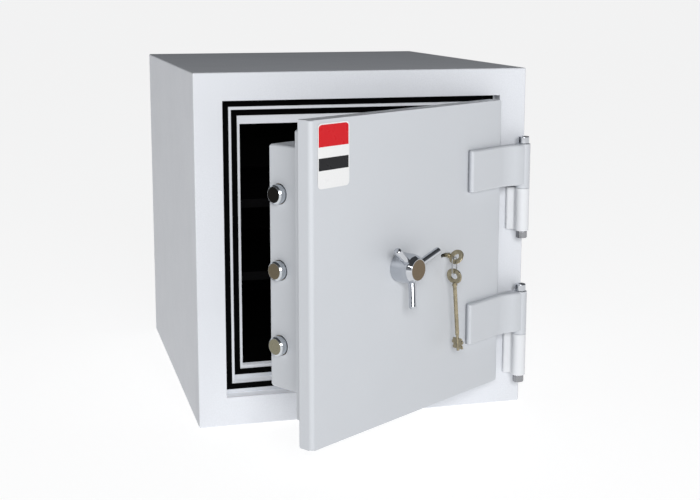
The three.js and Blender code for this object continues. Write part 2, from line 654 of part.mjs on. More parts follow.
// lever pack: a plate that swings on the post, with a round window for the turning key bit
const LEVERS = { front: 71, back: 75.6, window: BIT.half + 4 };
const leverOutline = roundedOutline(KEY.x - 24, KEY.x + 28, KEY.z - 19, KEY.z + 37, 5);
const leverPack = cut(
  plate(leverOutline, LEVERS.front, LEVERS.back),
  keyHole(LEVERS.window, LEVERS.front - 1, LEVERS.back + 1),
  rodY(LEVER_POST.r + GAP, LEVERS.front - 1, LEVERS.back + 1, LEVER_POST.x, LEVER_POST.z, 0, 16),
);
put(door, 'lever_pack', leverPack, FINISH.brass);

// ---------------------------------------------------------------- keys
// a key along +Y with its bow centre at the origin and its bit in the X plane of the bow
function keySolid() {
  const tip = KEY_LENGTH - BOW_R;
  const origin = [0, -FRONT, 0];
  const side = BOW_THICK / 2;
  const bowProfile = [[0, -side], [BOW_R - 0.6, -side], [BOW_R, 0], [BOW_R - 0.6, side], [0, side]];
  const bow = turned(bowProfile, 'z', origin, 32);
  const shankProfile = [
    [0, BOW_R - 1.5], [SHANK_R, BOW_R - 1.5], [SHANK_R, tip - 24],
    [SHANK_R - 0.7, tip - 23], [SHANK_R - 0.7, tip - 1], [SHANK_R - 1.5, tip], [0, tip],
  ];
  const shank = turned(shankProfile, 'y', origin, 20);
  const collar = turned(rodProfile(SHANK_R + 1, BOW_R + 1, BOW_R + 3), 'y', origin, 20);
  const bitStart = tip - BIT.length - 3;
  const bit = new THREE.Shape();
  const depths = [2.5, 0.5, 3.2, 1.4];
  const width = BIT.length / depths.length;
  bit.moveTo(0, bitStart);
  depths.forEach((depth, index) => {
    bit.lineTo(BIT.half - depth, bitStart + index * width);
    bit.lineTo(BIT.half - depth, bitStart + (index + 1) * width);
  });
  [...depths].reverse().forEach((depth, index) => {
    bit.lineTo(-BIT.half + depth, bitStart + BIT.length - index * width);
    bit.lineTo(-BIT.half + depth, bitStart + BIT.length - (index + 1) * width);
  });
  const blade = new THREE.ExtrudeGeometry(bit, { depth: BIT.thick, bevelEnabled: false });
  blade.translate(0, 0, -BIT.thick / 2);
  const hole = turned(rodProfile(BOW_HOLE_R, -BOW_THICK, BOW_THICK), 'z', origin, 20);
  return cut(union(bow, shank, collar, solid(blade)), hole);
}

const bowDepth = SLAB.front - BOW_OFFSET;
const lockKey = new THREE.Group();
lockKey.position.set(KEY.x, FRONT + bowDepth, KEY.z);
lockKey.rotation.y = THREE.MathUtils.degToRad(-KEY_TURN);
door.add(lockKey);
put(lockKey, 'lock_key', keySolid(), FINISH.brass);

// wire ring: an upright loop through the bows of both keys
function wireRing() {
  const points = [];
  for (const [middle, from] of [[RING.top, 0], [RING.low, Math.PI]]) {
    for (let n = 0; n <= 8; n += 1) {
      const a = from + (n / 8) * Math.PI;
      points.push(new THREE.Vector3(RING.x + RING.bend * Math.cos(a), 0, middle + RING.bend * Math.sin(a)));
    }
  }
  const section = new THREE.Shape();
  section.absarc(0, 0, RING.wire, 0, 2 * Math.PI);
  const loop = new THREE.CatmullRomCurve3(points, true, 'chordal');
  const settings = { steps: 30, extrudePath: loop, curveSegments: 3 };
  return solid(new THREE.ExtrudeGeometry(section, settings));
}

const keyRing = new THREE.Group();
keyRing.position.copy(lockKey.position);
door.add(keyRing);
put(keyRing, 'key_ring', wireRing(), FINISH.steel);

// spare key hanging from the ring a little aslant, bow edge-on to the door
const SPARE_SLANT = 6;
const spareKey = new THREE.Group();
const SPARE_DROP = RING.low - RING.bend - BOW_HOLE_R + RING.wire + 2 * GAP;
spareKey.position.set(KEY.x + RING.x, FRONT + bowDepth, KEY.z + SPARE_DROP);
spareKey.rotation.set(-Math.PI / 2, 0, Math.PI / 2, 'ZYX');
spareKey.rotateOnWorldAxis(new THREE.Vector3(0, 1, 0), THREE.MathUtils.degToRad(-SPARE_SLANT));
door.add(spareKey);
put(spareKey, 'spare_key', keySolid(), FINISH.brass);

export default safe;
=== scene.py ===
# A free-standing key-locking safe with its door ajar, finished for close views.
import json
import math

import bmesh
import bpy
from mathutils import Matrix, Vector


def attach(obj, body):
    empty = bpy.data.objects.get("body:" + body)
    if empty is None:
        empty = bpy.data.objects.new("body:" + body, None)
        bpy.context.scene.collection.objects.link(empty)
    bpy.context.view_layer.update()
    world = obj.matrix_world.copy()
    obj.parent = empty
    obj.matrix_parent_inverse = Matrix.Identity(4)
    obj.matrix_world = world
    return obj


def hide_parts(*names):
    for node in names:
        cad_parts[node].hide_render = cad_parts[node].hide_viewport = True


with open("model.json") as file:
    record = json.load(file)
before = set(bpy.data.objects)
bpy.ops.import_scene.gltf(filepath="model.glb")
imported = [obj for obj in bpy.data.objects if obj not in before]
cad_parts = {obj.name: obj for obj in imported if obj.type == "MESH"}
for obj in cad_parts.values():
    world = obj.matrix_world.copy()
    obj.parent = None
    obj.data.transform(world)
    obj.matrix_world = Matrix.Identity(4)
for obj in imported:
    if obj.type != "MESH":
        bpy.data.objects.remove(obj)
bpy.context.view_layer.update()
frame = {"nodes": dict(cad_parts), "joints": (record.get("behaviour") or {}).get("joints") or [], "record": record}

MM = 0.001


# ---------------------------------------------------------------- places, from the frame
def joint(name):
    return next(j for j in frame["joints"] if j["name"] == name)


HINGE = Vector(joint("door_hinge")["pos_m"])
DOOR_ANGLE = math.radians(-joint("door_hinge")["range_deg"][0])
STILL = Matrix.Identity(4)
# door pieces are made as they stand with the door closed, then swung open with this
SWING = Matrix.Translation(HINGE) @ Matrix.Rotation(DOOR_ANGLE, 4, "Z") @ Matrix.Translation(-HINGE)
# turns an outline drawn in X and Z, extruded along Y, out of one drawn in X and Y
UPRIGHT = Matrix(((1, 0, 0, 0), (0, 0, 1, 0), (0, 1, 0, 0), (0, 0, 0, 1)))
INWARDS = Vector((0, 1, 0))


def extents(node, space=STILL):
    """Lowest and highest corner of a CAD node, in metres, in the given space."""
    inverse = space.inverted()
    points = [inverse @ v.co for v in frame["nodes"][node].data.vertices]
    lows = Vector(min(p[i] for p in points) for i in range(3))
    highs = Vector(max(p[i] for p in points) for i in range(3))
    return lows, highs


def towards(origin, axis):
    """A space whose Z runs along axis from origin."""
    return Matrix.Translation(origin) @ Vector(axis).to_track_quat("Z", "Y").to_matrix().to_4x4()


# ---------------------------------------------------------------- materials
def add(tree, kind, settings=None, inputs=None):
    node = tree.nodes.new(kind)
    for key, value in (settings or {}).items():
        setattr(node, key, value)
    for key, value in (inputs or {}).items():
        if isinstance(value, bpy.types.NodeSocket):
            tree.links.new(value, node.inputs[key])
        else:
            node.inputs[key].default_value = value
    return node


def shader(name, color, roughness, metallic=0.0, **extra):
    """A new material with a Principled shader: (material, tree, shader, object coordinates)."""
    mat = bpy.data.materials.new(name)
    mat.use_nodes = True
    tree = mat.node_tree
    bsdf = tree.nodes["Principled BSDF"]
    bsdf.inputs["Base Color"].default_value = (*color, 1)
    bsdf.inputs["Roughness"].default_value = roughness
    bsdf.inputs["Metallic"].default_value = metallic
    for key, value in extra.items():
        bsdf.inputs[key.replace("_", " ")].default_value = value
    coords = tree.nodes.new("ShaderNodeTexCoord").outputs["Object"]
    return mat, tree, bsdf, coords


def noise(tree, coords, scale, detail=2.0, rough=0.5, stretch=None):
    if stretch:
        coords = add(tree, "ShaderNodeMapping", {}, {"Vector": coords, "Scale": stretch}).outputs[0]
    inputs = {"Vector": coords, "Scale": scale, "Detail": detail, "Roughness": rough}
    return add(tree, "ShaderNodeTexNoise", {}, inputs).outputs["Fac"]


def spread(tree, value, low, high, start=0.3, end=0.7):
    inputs = {"Value": value, "From Min": start, "From Max": end, "To Min": low, "To Max": high}
    return add(tree, "ShaderNodeMapRange", {}, inputs).outputs["Result"]


def blend_color(tree, factor, first, second):
    node = tree.nodes.new("ShaderNodeMix")
    node.data_type = "RGBA"
    tree.links.new(factor, node.inputs[0])
    for socket, value in ((node.inputs[6], first), (node.inputs[7], second)):
        if isinstance(value, bpy.types.NodeSocket):
            tree.links.new(value, socket)
        else:
            socket.default_value = (*value, 1)
    return node.outputs[2]


def bump(tree, bsdf, layers):
    """Stacks bump layers, (height, strength, distance in metres), and links them to the shader."""
    normal = None
    for height, strength, distance in layers:
        inputs = {"Height": height, "Strength": strength, "Distance": distance}
        if normal:
            inputs["Normal"] = normal
        normal = add(tree, "ShaderNodeBump", {}, inputs).outputs["Normal"]
    tree.links.new(normal, bsdf.inputs["Normal"])


def shade(color, factor):
    return tuple(c * factor for c in color)


def powder_coat(name, color, roughness, speckle=0.05, grime=0.03, gloss=0.4, glow=0.0):
    """Baked powder paint: orange peel, fine mottling and a trace of handling dirt."""
    mat, tree, bsdf, coords = shader(name, color, roughness)
    bsdf.inputs["Specular IOR Level"].default_value = gloss
    if glow:
        bsdf.inputs["Emission Color"].default_value = (0.9, 0.93, 1, 1)
        bsdf.inputs["Emission Strength"].default_value = glow
    grain = noise(tree, coords, 520, 3, 0.6)
    peel = noise(tree, coords, 170, 2, 0.5)
    cloud = noise(tree, coords, 7, 3, 0.55)
    pale, deep = shade(color, 1 + speckle), shade(color, 1 - speckle)
    mottled = blend_color(tree, spread(tree, grain, 0, 1), deep, pale)
    dirty = blend_color(tree, spread(tree, cloud, 0, 1, 0.35, 0.75), mottled, shade(color, 1 - grime))
    tree.links.new(dirty, bsdf.inputs["Base Color"])
    sheen = spread(tree, noise(tree, coords, 24, 4, 0.6), roughness - 0.06, roughness + 0.08)
    tree.links.new(sheen, bsdf.inputs["Roughness"])
    bump(tree, bsdf, [(peel, 0.35, 0.12 * MM), (grain, 0.25, 0.05 * MM)])
    return mat


def polished(name, color, roughness, smear=0.06):
    """Plated metal: a bright even surface with finger smears and hair-fine polishing marks."""
    mat, tree, bsdf, coords = shader(name, color, roughness, 1.0)
    smears = noise(tree, coords, 90, 4, 0.65)
    gloss = spread(tree, smears, roughness, roughness + smear, 0.4, 0.75)
    tree.links.new(gloss, bsdf.inputs["Roughness"])
    tint = blend_color(tree, spread(tree, noise(tree, coords, 35, 2), 0, 1), color, shade(color, 0.93))
    tree.links.new(tint, bsdf.inputs["Base Color"])
    marks = noise(tree, coords, 1500, 1, 0.5, (1, 1, 0.12))
    bump(tree, bsdf, [(marks, 0.05, 0.02 * MM), (noise(tree, coords, 60, 1), 0.06, 0.1 * MM)])
    return mat


def turned_face(name, color, roughness, centre, axis):
    """A faced metal disc: fine rings about its axis."""
    mat, tree, bsdf, coords = shader(name, color, roughness, 1.0)
    kind = "ShaderNodeVectorMath"
    offset = add(tree, kind, {"operation": "SUBTRACT"}, {0: coords, 1: centre})
    across = add(tree, kind, {"operation": "CROSS_PRODUCT"}, {0: offset.outputs[0], 1: axis})
    radius = add(tree, kind, {"operation": "LENGTH"}, {0: across.outputs[0]}).outputs["Value"]
    inputs = {"W": radius, "Scale": 2600, "Detail": 2}
    rings = add(tree, "ShaderNodeTexNoise", {"noise_dimensions": "1D"}, inputs).outputs["Fac"]
    tree.links.new(spread(tree, rings, roughness - 0.08, roughness + 0.1), bsdf.inputs["Roughness"])
    tint = blend_color(tree, spread(tree, rings, 0, 1), shade(color, 0.88), shade(color, 1.08))
    tree.links.new(tint, bsdf.inputs["Base Color"])
    bump(tree, bsdf, [(rings, 0.25, 0.03 * MM)])
    return mat


def worked_metal(name, color, roughness, dark=0.75):
    """Milled or cast metal with uneven tone, faint pitting and rubbed patches."""
    mat, tree, bsdf, coords = shader(name, color, roughness, 1.0)
    patches = noise(tree, coords, 140, 5, 0.6)
    tint = blend_color(tree, spread(tree, patches, 0, 1, 0.35, 0.7), color, shade(color, dark))
    tree.links.new(tint, bsdf.inputs["Base Color"])
    tree.links.new(spread(tree, patches, roughness - 0.08, roughness + 0.15), bsdf.inputs["Roughness"])
    scratches = noise(tree, coords, 900, 2, 0.5, (1, 0.1, 1))
    bump(tree, bsdf, [(scratches, 0.2, 0.04 * MM), (noise(tree, coords, 500, 3), 0.2, 0.08 * MM)])
    return mat


def foam_rubber(name):
    """Matt black sealing strip with open pores."""
    mat, tree, bsdf, coords = shader(name, (0.0015, 0.0015, 0.0016), 0.9)
    bsdf.inputs["Specular IOR Level"].default_value = 0.03
    pores = noise(tree, coords, 1100, 4, 0.7)
    tree.links.new(spread(tree, pores, 0.75, 0.95), bsdf.inputs["Roughness"])
    bump(tree, bsdf, [(pores, 0.5, 0.15 * MM), (noise(tree, coords, 120, 2), 0.3, 0.2 * MM)])
    return mat


def cast_fill(name):
    """Rough cast mineral filling with stones in it."""
    color = (0.42, 0.41, 0.38)
    mat, tree, bsdf, coords = shader(name, color, 0.92)
    grit = noise(tree, coords, 260, 6, 0.7)
    stones = add(tree, "ShaderNodeTexVoronoi", {}, {"Vector": coords, "Scale": 120}).outputs["Distance"]
    tint = blend_color(tree, spread(tree, grit, 0, 1), shade(color, 0.7), shade(color, 1.15))
    tree.links.new(tint, bsdf.inputs["Base Color"])
    bump(tree, bsdf, [(stones, 0.3, 0.5 * MM), (grit, 0.5, 0.3 * MM)])
    return mat


def moulded(name, color, roughness):
    """Moulded plastic with a spark-eroded grain."""
    mat, tree, bsdf, coords = shader(name, color, roughness)
    spark = noise(tree, coords, 900, 3, 0.6)
    tree.links.new(spread(tree, spark, roughness - 0.05, roughness + 0.1), bsdf.inputs["Roughness"])
    bump(tree, bsdf, [(spark, 0.3, 0.05 * MM)])
    return mat


def printed_film(name, color):
    """Glossy printed vinyl with a faint dimpling and print grain."""
    mat, tree, bsdf, coords = shader(name, color, 0.3)
    bsdf.inputs["Specular IOR Level"].default_value = 0.2
    grain = noise(tree, coords, 2500, 2)
    tint = blend_color(tree, spread(tree, grain, 0, 1), shade(color, 0.95), shade(color, 1.04))
    tree.links.new(tint, bsdf.inputs["Base Color"])
    tree.links.new(spread(tree, noise(tree, coords, 60, 3), 0.22, 0.4), bsdf.inputs["Roughness"])
    bump(tree, bsdf, [(noise(tree, coords, 110, 2), 0.1, 0.1 * MM)])
    return mat


BODY_PAINT = powder_coat("body_powder_coat", (0.735, 0.755, 0.795), 0.5, 0.04)
# the doorway's ledges face up in the door's shadow; the glow stands for the bright studio around them
LEDGE_PAINT = powder_coat("frame_ledge_powder_coat", (0.80, 0.815, 0.84), 0.5, 0.04, glow=0.28)
HINGE_PAINT = powder_coat("hinge_block_powder_coat", (0.76, 0.775, 0.80), 0.45, 0.02, 0.02)
DOOR_PAINT = powder_coat("door_powder_coat", (0.60, 0.622, 0.655), 0.42, 0.012, 0.02)
BLACK_PAINT = powder_coat("interior_black_paint", (0.003, 0.003, 0.0035), 0.6, 0.3, 0.1, 0.06)
SEAL_RUBBER = foam_rubber("seal_foam_rubber")
FILL = cast_fill("cast_mineral_fill")
PLUG = moulded("plug_plastic", (0.02, 0.02, 0.021), 0.5)
CHROME = polished("polished_chrome", (0.58, 0.60, 0.635), 0.06)
NUT_STEEL = polished("hinge_nut_steel", (0.34, 0.345, 0.36), 0.2, 0.1)
NICKEL = polished("plated_bolt_nickel", (0.62, 0.65, 0.68), 0.14, 0.12)
STEEL = worked_metal("machined_steel", (0.42, 0.43, 0.44), 0.35)
BRASS = worked_metal("lock_brass", (0.60, 0.45, 0.22), 0.32)
KEY_METAL = worked_metal("key_nickel_brass", (0.44, 0.385, 0.265), 0.24, 0.62)


# ---------------------------------------------------------------- mesh tools
def rounded(points, radii, closed=False, steps=5):
    """A line or outline in two dimensions with its corners rounded to the given radii."""
    out = []
    for i, (corner, radius) in enumerate(zip(points, radii)):
        p = Vector(corner)
        if radius <= 0 or (not closed and i in (0, len(points) - 1)):
            out.append(p)
            continue
        u = (Vector(points[i - 1]) - p).normalized()
        v = (Vector(points[(i + 1) % len(points)]) - p).normalized()
        half = u.angle(v) / 2
        centre = p + (u + v).normalized() * (radius / math.sin(half))
        first = p + u * (radius / math.tan(half)) - centre
        last = p + v * (radius / math.tan(half)) - centre
        start = math.atan2(first.y, first.x)
        sweep = math.remainder(math.atan2(last.y, last.x) - start, 2 * math.pi)
        for n in range(steps + 1):
            a = start + sweep * n / steps
            out.append(centre + radius * Vector((math.cos(a), math.sin(a))))
    return out


def lathe(bm, profile, place, segments=72, material=0, closed=False):
    """Turns (radius, height) pairs about the Z axis of the space place."""
    rings = []
    for r, h in profile:
        if r < 1e-7:
            rings.append([bm.verts.new(place @ Vector((0, 0, h)))])
            continue
        angles = [2 * math.pi * n / segments for n in range(segments)]
        spots = [Vector((r * math.cos(a), r * math.sin(a), h)) for a in angles]
        rings.append([bm.verts.new(place @ spot) for spot in spots])
    nexts = rings[1:] + rings[:1] if closed else rings[1:]
    for low, high in zip(rings, nexts):
        for n in range(segments):
            m = (n + 1) % segments
            if len(low) == 1 and len(high) == 1:
                continue
            if len(low) == 1:
                corners = (low[0], high[n], high[m])
            elif len(high) == 1:
                corners = (low[n], high[0], low[m])
            else:
                corners = (low[n], high[n], high[m], low[m])
            bm.faces.new(corners).material_index = material


def prism(bm, outline, low, high, place=STILL, material=0):
    """Extrudes an outline in X and Y from low to high along Z. Returns the two end faces."""
    ends = [[bm.verts.new(place @ Vector((p[0], p[1], h))) for p in outline] for h in (low, high)]
    caps = [bm.faces.new(ends[0][::-1]), bm.faces.new(ends[1])]
    count = len(outline)
    sides = [
        bm.faces.new((ends[0][n], ends[0][(n + 1) % count], ends[1][(n + 1) % count], ends[1][n]))
        for n in range(count)
    ]
    for face in caps + sides:
        face.material_index = material
    return caps


def bevel(bm, edges, width, segments=4):
    bmesh.ops.bevel(
        bm, geom=list(edges), offset=width, segments=segments, profile=0.5, affect="EDGES",
        clamp_overlap=False,
    )


def rims(caps):
    """The edges around the end faces of a prism."""
    return {e for cap in caps for e in cap.edges}


def rectangle(x0, x1, y0, y1):
    return [(x0, y0), (x1, y0), (x1, y1), (x0, y1)]


def mesh_object(name, bm, materials):
    bmesh.ops.recalc_face_normals(bm, faces=bm.faces)
    mesh = bpy.data.meshes.new(name)
    bm.to_mesh(mesh)
    bm.free()
    mesh.shade_smooth()
    for material in materials:
        mesh.materials.append(material)
    obj = bpy.data.objects.new(name, mesh)
    bpy.context.scene.collection.objects.link(obj)
    return obj


def even_normals(obj):
    """Flat faces stay flat and their rounded edges carry the bend."""
    modifier = obj.modifiers.new("even_normals", "WEIGHTED_NORMAL")
    modifier.weight = 60
    modifier.keep_sharp = True


def sharpen(bm, angle=math.radians(45)):
    for edge in bm.edges:
        edge.smooth = not (len(edge.link_faces) == 2 and edge.calc_face_angle(0) > angle)


def install(name, bm, materials, body, nodes):
    """Makes the piece, rides it on its body and lets it stand for its CAD nodes."""
    sharpen(bm)
    obj = mesh_object(name, bm, materials)
    even_normals(obj)
    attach(obj, body)
    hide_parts(*nodes)
    return obj


def carve(obj, cutter_bm):
    """Cuts a closed shape out of a piece."""
    cutter = mesh_object("cutter", cutter_bm, [])
    modifier = obj.modifiers.new("carve", "BOOLEAN")
    modifier.operation = "DIFFERENCE"
    modifier.solver = "EXACT"
    modifier.object = cutter
    graph = bpy.context.evaluated_depsgraph_get()
    result = bpy.data.meshes.new_from_object(obj.evaluated_get(graph))
    obj.modifiers.clear()
    obj.data = result
    bpy.data.objects.remove(cutter)


def carved(bm, *cutters):
    """A shape with other closed shapes cut out of it, as a new bmesh."""
    obj = mesh_object("carving", bm, [])
    for cutter_bm in cutters:
        carve(obj, cutter_bm)
    out = bmesh.new()
    out.from_mesh(obj.data)
    bpy.data.objects.remove(obj)
    return out


def node_shape(node):
    """The CAD node's shape with its flat areas joined into single faces."""
    bm = bmesh.new()
    bm.from_mesh(frame["nodes"][node].data)
    bmesh.ops.remove_doubles(bm, verts=bm.verts, dist=1e-6)
    bmesh.ops.dissolve_limit(bm, angle_limit=math.radians(0.5), verts=bm.verts, edges=bm.edges)
    for face in bm.faces:
        face.material_index = 0
    return bm


def corners_of(bm, chosen=lambda middle: True, angle=math.radians(40)):
    """Edges sharper than angle whose middle point is chosen."""
    return [
        e
        for e in bm.edges
        if len(e.link_faces) == 2
        and e.calc_face_angle(0) > angle
        and chosen((e.verts[0].co + e.verts[1].co) / 2)
    ]


def softened(node, width, material, body, segments=3, chosen=lambda middle: True):
    """A CAD node with its sharp edges rounded."""
    bm = node_shape(node)
    if width:
        bevel(bm, corners_of(bm, chosen), width, segments)
    return install(f"{node}_finished", bm, [material], body, [node])


# ---------------------------------------------------------------- cabinet
CASE_LOW, CASE_HIGH = extents("outer_casing")
FRONT = CASE_LOW.y
TOUCH = 0.02 * MM


def near(a, b):
    return abs(a - b) < TOUCH


def casing_edge(p):
    """Whether a point lies on an outer edge of the casing."""
    level = near(p.z, 0) or near(p.z, CASE_HIGH.z)
    return near(abs(p.x), CASE_HIGH.x) + near(abs(p.y), CASE_HIGH.y) + level >= 2


softened("outer_casing", 2.2 * MM, BODY_PAINT, "cabinet", 4, casing_edge)


def frame_piece():
    """The stepped frame; its face runs right up to the casing, as a ground and painted weld does."""
    bm = node_shape("door_frame")
    lows, highs = extents("door_frame")
    shell = 4 * MM
    for v in bm.verts:
        if near(abs(v.co.x), highs.x):
            v.co.x = math.copysign(CASE_HIGH.x - shell, v.co.x)
        if near(v.co.z, lows.z):
            v.co.z = CASE_LOW.z + shell
        if near(v.co.z, highs.z):
            v.co.z = CASE_HIGH.z - shell
    inside = CASE_HIGH.x - 2 * shell

    def visible(p):
        return abs(p.x) < inside and 3 * shell < p.z < CASE_HIGH.z - 3 * shell

    bevel(bm, corners_of(bm, visible), 0.5 * MM, 3)
    for face in bm.faces:
        if face.normal.z > 0.9 and visible(face.calc_center_median()):
            face.material_index = 1
    paints = [BODY_PAINT, LEDGE_PAINT]
    install("door_frame_finished", bm, paints, "cabinet", ["door_frame"])


def interior(node, width):
    """A black painted piece inside the body."""
    softened(node, width, BLACK_PAINT, "cabinet", 2)


frame_piece()
for node in ("bolt_pocket_walls", "bolt_pocket_back_left", "bolt_pocket_back_right"):
    interior(node, 0.3 * MM)
interior("inner_liner", 0.4 * MM)
for seal in ("outer_seal", "inner_seal"):
    softened(seal, 0.45 * MM, SEAL_RUBBER, "cabinet", 2)
for level in ("upper", "lower"):
    interior(f"{level}_shelf", 0.5 * MM)
    for hand in ("left", "right"):
        interior(f"{level}_shelf_rail_{hand}", 0.3 * MM)
softened("anchor_hole_plug", 0.5 * MM, PLUG, "cabinet", 2)


# ---------------------------------------------------------------- hinges
BARREL_R = 10.5 * MM
BORE_R = 6.3 * MM
PIN_SHAFT_R = 6 * MM
PIN_HEAD = 11 * MM
SOCKET_R = 3 * MM
SOCKET_DEPTH = 5 * MM
NUT_FLUTES = 16
ARM_THICKNESS = 9.3 * MM
ARM_BACK = FRONT - 4 * MM


def pin_head(node):
    """A chromed pin whose head has a rounded rim and a hexagon socket."""
    bm, centre, lows, highs = pin_drum(node, PIN_HEAD)
    place = Matrix.Translation((centre.x, centre.y, 0))
    corners = [a * math.pi / 3 for a in range(6)]
    hexagon = [(SOCKET_R * math.cos(a), SOCKET_R * math.sin(a)) for a in corners]
    cutter = bmesh.new()
    prism(cutter, hexagon, highs.z - SOCKET_DEPTH, highs.z + MM, place)
    bm = carved(bm, cutter)
    join = highs.z - PIN_HEAD + MM
    lathe(bm, [(0, lows.z), (PIN_SHAFT_R, lows.z), (PIN_SHAFT_R, join), (0, join)], place, 48)
    install(f"{node}_finished", bm, [CHROME], "cabinet", [node])


def pin_nut(node):
    """The pin's round nut, fluted for grip."""
    bm, centre, lows, highs = pin_drum(node)
    radius = (highs.x - lows.x) / 2
    for v in bm.verts:
        across = Vector((v.co.x - centre.x, v.co.y - centre.y))
        if across.length > radius * 0.9:
            dip = 0.25 * MM * (1 - math.cos(NUT_FLUTES * math.atan2(across.y, across.x)))
            v.co.xy -= across.normalized() * dip
    install(f"{node}_finished", bm, [NUT_STEEL], "cabinet", [node])


def pin_drum(node, height=None):
    """A drum as wide as the node that ends at its top, with rounded rims."""
    lows, highs = extents(node)
    centre = (lows + highs) / 2
    radius, rim = (highs.x - lows.x) / 2, 1.2 * MM
    low = highs.z - height if height else lows.z
    corners = [(0, low), (radius, low), (radius, highs.z), (0, highs.z)]
    bm = bmesh.new()
    place = Matrix.Translation((centre.x, centre.y, 0))
    lathe(bm, rounded(corners, [0, rim, rim, 0]), place, 128)
    return bm, centre, lows, highs


def barrel_with_bore(bm, low, high):
    edge, mouth = 0.7 * MM, 0.3 * MM
    outline = [(BORE_R, low), (BARREL_R, low), (BARREL_R, high), (BORE_R, high)]
    profile = rounded(outline, [mouth, edge, edge, mouth], True, 3)
    lathe(bm, profile, Matrix.Translation((HINGE.x, HINGE.y, 0)), 72, closed=True)


def rim_levels(low, high, radius, steps=7):
    """Levels and insets that round off both ends of a lofted block."""
    arc = [math.pi / 2 * n / steps for n in range(steps + 1)]
    foot = [(low + radius * (1 - math.sin(a)), radius * (1 - math.cos(a))) for a in reversed(arc)]
    head = [(high - radius * (1 - math.sin(a)), radius * (1 - math.cos(a))) for a in arc]
    return foot + head


def loft(bm, outline, levels):
    """Closed skin through outline(inset) at each level of Z."""
    rings = [[bm.verts.new((p[0], p[1], z)) for p in outline(inset)] for z, inset in levels]
    bm.faces.new(rings[0][::-1])
    bm.faces.new(rings[-1])
    count = len(rings[0])
    for low, high in zip(rings, rings[1:]):
        for n in range(count):
            m = (n + 1) % count
            bm.faces.new((low[n], low[m], high[m], high[n]))


def hinge_bracket(node):
    """Welded block on the frame with the hinge barrel in front of it."""
    lows, highs = extents(node)
    right = highs.x - 3.5 * MM
    low_face, high_face = highs.y - 6 * MM, highs.y - 8 * MM

    def outline(inset):
        points = [
            (lows.x + inset, highs.y), (lows.x + inset, low_face + inset),
            (HINGE.x - 9.5 * MM, high_face + inset), (HINGE.x - 7 * MM, HINGE.y),
            (right - inset, HINGE.y), (right - inset, highs.y),
        ]
        return rounded(points, [0, 3 * MM, 3 * MM, 0, 0, 0], True, 6)

    bm = bmesh.new()
    loft(bm, outline, rim_levels(lows.z, highs.z, 1.5 * MM, 4))
    barrel_with_bore(bm, lows.z, highs.z)
    install(f"{node}_finished", bm, [HINGE_PAINT], "cabinet", [node])


def hinge_arm(node):
    """Thick plate on the door, rounded at its rim, that ramps forwards into its barrel."""
    lows, highs = extents(node, SWING)
    face = ARM_BACK - ARM_THICKNESS
    ramp_start = HINGE.x - 34 * MM

    def outline(inset):
        points = [
            (lows.x + inset, ARM_BACK), (lows.x + inset, face + inset), (ramp_start, face + inset),
            (HINGE.x - 2 * MM, HINGE.y - BARREL_R + 0.3 * MM + inset), (HINGE.x, HINGE.y),
            (HINGE.x - 8.5 * MM, ARM_BACK),
        ]
        return rounded(points, [0, 3.4 * MM, 60 * MM, 0, 0, 0], True, 10)

    bm = bmesh.new()
    loft(bm, outline, rim_levels(lows.z + 5 * MM, highs.z - 0.5 * MM, 3.2 * MM))
    barrel_with_bore(bm, lows.z, highs.z)
    bm.transform(SWING)
    install(f"{node}_finished", bm, [DOOR_PAINT], "door", [node])


for level in ("upper", "lower"):
    hinge_bracket(f"{level}_hinge_bracket")
    hinge_arm(f"{level}_hinge_arm")
    pin_head(f"{level}_hinge_pin")
    pin_nut(f"{level}_hinge_pin_nut")


# ---------------------------------------------------------------- door leaf
HANDLE_AT = SWING.inverted() @ Vector(joint("handle_turn")["pos_m"])
KEY_AT = SWING.inverted() @ Vector(joint("key_turn")["pos_m"])
# the slot for the key's bit, through the slab's front sheet
SLOT_HALF_WIDTH = 10.5 * MM
SLOT_HALF_HEIGHT = 2.6 * MM
FRONT_SHEET = 5 * MM
# round holes through the slab: axis, radius, start and end behind the body's front, segments
BORINGS = (
    (KEY_AT, 3.4 * MM, -20 * MM, 2 * MM, 32),
    (KEY_AT, 12.8 * MM, MM, 40 * MM, 48),
    (HANDLE_AT, 8.3 * MM, -20 * MM, 40 * MM, 48),
)


def boring(at, radius, start, end, segments):
    """A drill's shape about the axis at the given point."""
    drill = bmesh.new()
    place = towards(Vector((at.x, FRONT, at.z)), INWARDS)
    lathe(drill, [(0, start), (radius, start), (radius, end), (0, end)], place, segments)
    return drill


def door_slab():
    """Folded steel slab with generously rounded upright edges, a key slot and a spindle hole."""
    lows, highs = extents("door_slab", SWING)
    fold, lip = 6 * MM, 2 * MM
    outline = rounded(rectangle(lows.x, highs.x, lows.y, highs.y), [fold, fold, lip, lip], True, 8)
    bm = bmesh.new()
    bevel(bm, rims(prism(bm, outline, lows.z, highs.z)), 2 * MM)
    slot = rectangle(
        KEY_AT.x - SLOT_HALF_WIDTH, KEY_AT.x + SLOT_HALF_WIDTH,
        KEY_AT.z - SLOT_HALF_HEIGHT, KEY_AT.z + SLOT_HALF_HEIGHT,
    )
    slot = rounded(slot, [1.2 * MM] * 4, True, 4)
    cutter = bmesh.new()
    prism(cutter, slot, lows.y - MM, lows.y + FRONT_SHEET + MM, UPRIGHT)
    bm = carved(bm, cutter, *(boring(*values) for values in BORINGS))
    bm.transform(SWING)
    install("door_slab_finished", bm, [DOOR_PAINT], "door", ["door_slab"])


door_slab()
softened("step_plate", 0.4 * MM, DOOR_PAINT, "door", 2)
softened("boltwork_housing", 0.8 * MM, DOOR_PAINT, "door", 3)
softened("boltwork_cover", 0.5 * MM, DOOR_PAINT, "door", 2)


